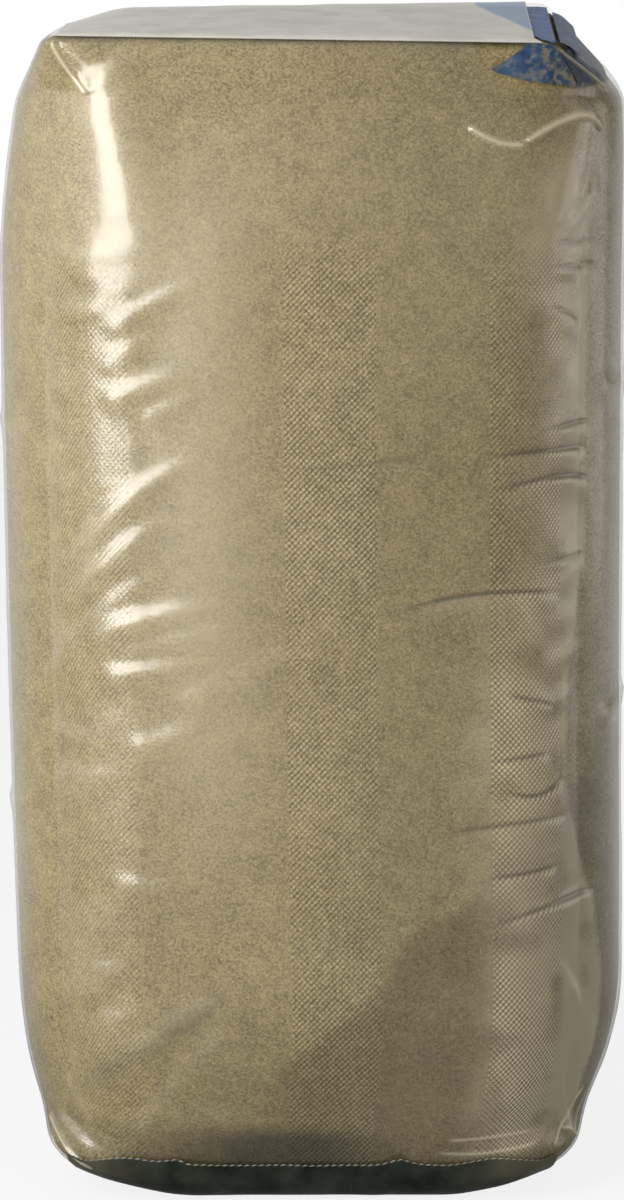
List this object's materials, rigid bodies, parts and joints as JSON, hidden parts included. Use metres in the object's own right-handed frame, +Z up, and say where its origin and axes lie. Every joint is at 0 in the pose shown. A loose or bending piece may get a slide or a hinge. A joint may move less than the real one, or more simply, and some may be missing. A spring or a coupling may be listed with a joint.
{
  "type": "sack of quartz sand",
  "caption": "Clear film block-bottom valve sack filled tight with quartz sand, with a pale top patch, a dark base patch and a blue valve sleeve at its top corner.",
  "frame": {"origin": "Middle of the base's bounding box, on the floor the sack stands on.", "axes": "+Z up the height, -Y out of the front face, +X towards the end with the valve."},
  "size_m": [0.2722, 0.1542, 0.5171],
  "materials": {
    "clear_film": "clear, glossy polyethylene film with knurled grip bands, dusty inside",
    "sand": "fine dry quartz sand, beige with dark specks",
    "pale_film": "milky polyethylene film, satin, saw-cut edges",
    "dark_film": "dark polyethylene film, glossy, saw-cut edges",
    "blue_film": "blue polyethylene film, satin"
  },
  "bodies": {
    "root": {"film_sack": "clear_film", "sand_fill": "sand", "top_cover_patch": "pale_film", "bottom_cover_patch": "dark_film", "valve_sleeve": "blue_film"}
  },
  "joints": []
}
